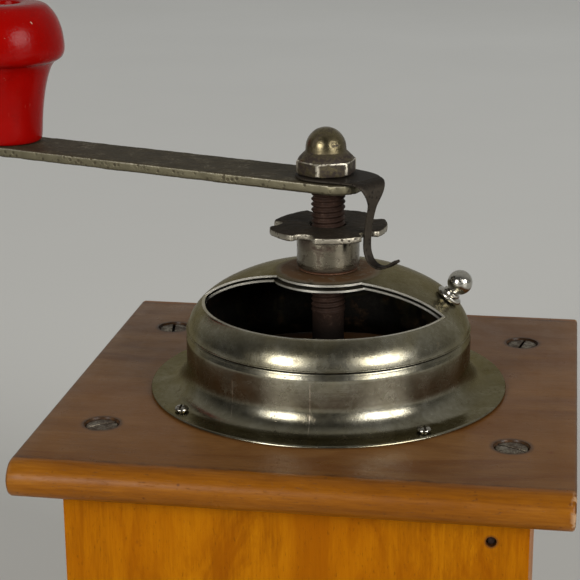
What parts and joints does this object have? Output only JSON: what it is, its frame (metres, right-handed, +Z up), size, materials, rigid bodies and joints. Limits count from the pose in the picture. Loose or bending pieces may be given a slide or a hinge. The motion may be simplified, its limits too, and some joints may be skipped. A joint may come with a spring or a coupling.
{
  "type": "coffee grinder mill",
  "caption": "Antique hand-cranked box coffee mill: wooden case with drawer, open metal hopper with a turning cover, star nut with spring catch, flat crank and red wooden grip.",
  "frame": {"origin": "on the spindle's axis, in the plane of the base board's flat underside", "axes": "+Z up along the spindle, +X to the right and -Y towards the front, where the drawer and the hopper's opening are"},
  "size_m": [0.2019, 0.1577, 0.2349],
  "materials": {
    "varnished_case_wood": "clear gloss varnish, scuffed",
    "varnished_board_wood": "dark varnish, dull on top and glossy on the rounded edge",
    "bare_drawer_wood": "bare, unvarnished",
    "worn_screw_steel": "tarnished steel",
    "nickel_sheet": "worn satin nickel plate",
    "aged_brass": "dull, aged",
    "burr_iron": "bare cast and hardened",
    "rusty_steel": "brown, rusty",
    "polished_steel": "polished, pitted",
    "crank_steel": "brown patina with rust specks, paler on the edges",
    "brassy_nickel": "nickel worn through to brass",
    "red_paint": "gloss red paint on turned wood, chipped"
  },
  "bodies": {
    "case": {"top_board": "varnished_board_wood", "base_board": "varnished_board_wood", "front_wall": "varnished_case_wood", "back_wall": "varnished_case_wood", "left_wall": "varnished_case_wood", "right_wall": "varnished_case_wood", "front_nail": "rusty_steel", "hopper_collar": "nickel_sheet", "inner_dome": "nickel_sheet", "bearing_bush": "aged_brass", "burr_ring": "burr_iron", "lower_bridge": "worn_screw_steel", "bridge_bush": "aged_brass", "board_screw_front_left": "worn_screw_steel", "board_screw_front_right": "worn_screw_steel", "board_screw_back_right": "worn_screw_steel", "board_screw_back_left": "worn_screw_steel", "base_screw_front_left": "worn_screw_steel", "base_screw_front_right": "worn_screw_steel", "base_screw_back_right": "worn_screw_steel", "base_screw_back_left": "worn_screw_steel", "flange_screw_front_left": "nickel_sheet", "flange_screw_front_right": "nickel_sheet", "flange_screw_back_right": "nickel_sheet", "flange_screw_back_left": "nickel_sheet", "burr_screw_1": "worn_screw_steel", "burr_screw_2": "worn_screw_steel", "burr_screw_3": "worn_screw_steel", "bridge_screw_1": "worn_screw_steel", "bridge_screw_2": "worn_screw_steel"},
    "cover": {"hopper_cover": "nickel_sheet", "cover_knob": "nickel_sheet"},
    "drawer": {"drawer_front": "varnished_case_wood", "drawer_left": "bare_drawer_wood", "drawer_right": "bare_drawer_wood", "drawer_back": "bare_drawer_wood", "drawer_bottom": "bare_drawer_wood", "drawer_knob": "red_paint", "drawer_knob_screw": "worn_screw_steel"},
    "washer": {"thrust_washer": "rusty_steel"},
    "star_nut": {"nut_hub": "polished_steel", "star_plate": "rusty_steel"},
    "crank": {"spindle": "rusty_steel", "crank_arm": "crank_steel", "cap_nut": "brassy_nickel", "latch_plate": "rusty_steel", "handle_pin": "polished_steel", "burr_cone": "burr_iron", "cone_pin": "worn_screw_steel"},
    "catch": {"latch_finger": "rusty_steel"},
    "grip": {"handle_grip": "red_paint"}
  },
  "joints": [
    {"name": "cover_turn", "type": "hinge", "parent": "case", "child": "cover", "pos_m": [0, 0, 0.1464], "axis": [0, 0, 1], "range_deg": [-180, 0]},
    {"name": "drawer_slide", "type": "slide", "parent": "case", "child": "drawer", "axis": [0, -1, 0], "range_m": [0, 0.085]},
    {"name": "crank_spin", "type": "hinge", "parent": "case", "child": "washer", "pos_m": [0, 0, 0.1635], "axis": [0, 0, 1], "continuous": true},
    {"name": "adjuster_turn", "type": "hinge", "parent": "washer", "child": "star_nut", "pos_m": [0, 0, 0.1745], "axis": [0, 0, 1], "range_deg": [-144, 144], "deforming": ["latch_finger"]},
    {"name": "grind_lift", "type": "slide", "parent": "washer", "child": "crank", "axis": [0, 0, 1], "range_m": [-0.00065, 0.00065]},
    {"name": "catch_bend", "type": "hinge", "parent": "crank", "child": "catch", "pos_m": [0.01171, -0.0082, 0.1915], "axis": [-0.5736, -0.8192, 0], "range_deg": [0, 14], "stiffness_Nm_per_rad": 0.3},
    {"name": "grip_spin", "type": "hinge", "parent": "crank", "child": "grip", "pos_m": [-0.10887, 0.03706, 0.1908], "axis": [0, 0, 1], "continuous": true}
  ],
  "couplings": [
    {"joint": "grind_lift", "follows": "adjuster_turn", "m_per_rad": -0.00025465}
  ]
}
